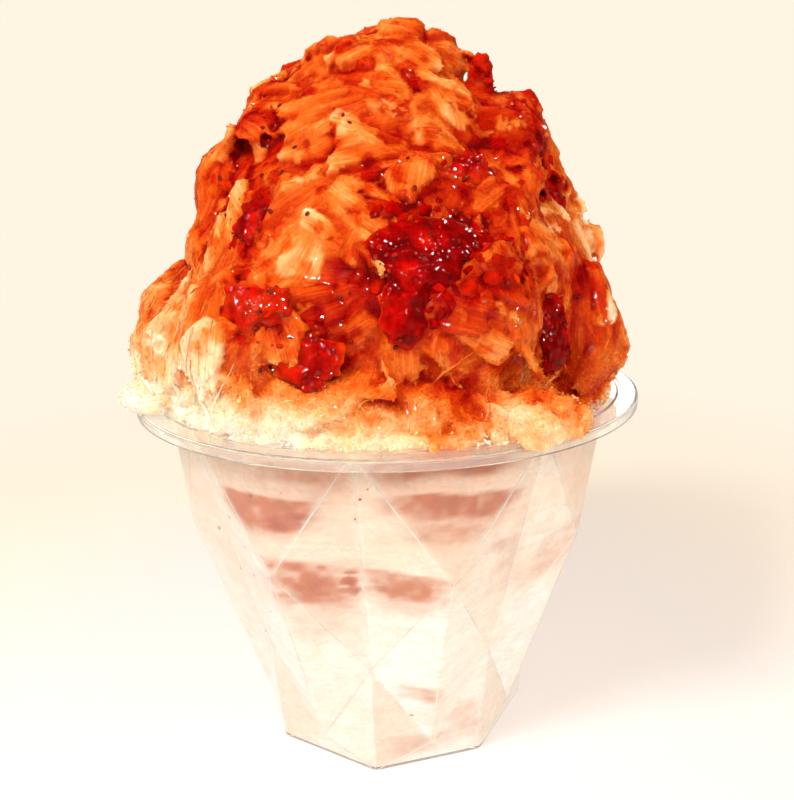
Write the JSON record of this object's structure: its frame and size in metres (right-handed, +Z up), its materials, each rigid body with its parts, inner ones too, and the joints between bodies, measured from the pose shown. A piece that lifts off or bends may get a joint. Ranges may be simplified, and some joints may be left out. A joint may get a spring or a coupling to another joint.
{
  "type": "kakigori in a clear plastic cup",
  "caption": "Shaved ice dessert soaked with strawberry syrup and jam, heaped in a clear cup with a diamond-cut faceted wall and a flat lip.",
  "frame": {"origin": "centre of the cup's flat base, at the height of the surface it stands on", "axes": "+Z up along the cup's axis; -Y is the front, the side with the large jam pool; +X to the right seen from the front"},
  "size_m": [0.1012, 0.101, 0.1427],
  "materials": {
    "clear_plastic": "clear PET, glossy, thin",
    "ice": "packed frosty shaved ice, translucent white with a faint pink tinge",
    "syrup_ice": "packed shaved ice soaked with strawberry syrup, dull pink",
    "soaked_ice": "wet translucent ice shavings, orange to red where the syrup lies, pale at the left and at the rim",
    "jam": "wet glossy crushed strawberry with small dark seeds"
  },
  "bodies": {
    "root": {"cup": "clear_plastic", "ice_bottom": "ice", "syrup_band_lower": "syrup_ice", "ice_middle": "ice", "syrup_band_upper": "syrup_ice", "ice_heap": "soaked_ice", "jam_front": "jam", "jam_right": "jam", "jam_left": "jam", "jam_lower_left": "jam", "jam_lower": "jam", "jam_right_upper": "jam", "jam_upper": "jam", "jam_back": "jam"}
  },
  "joints": []
}
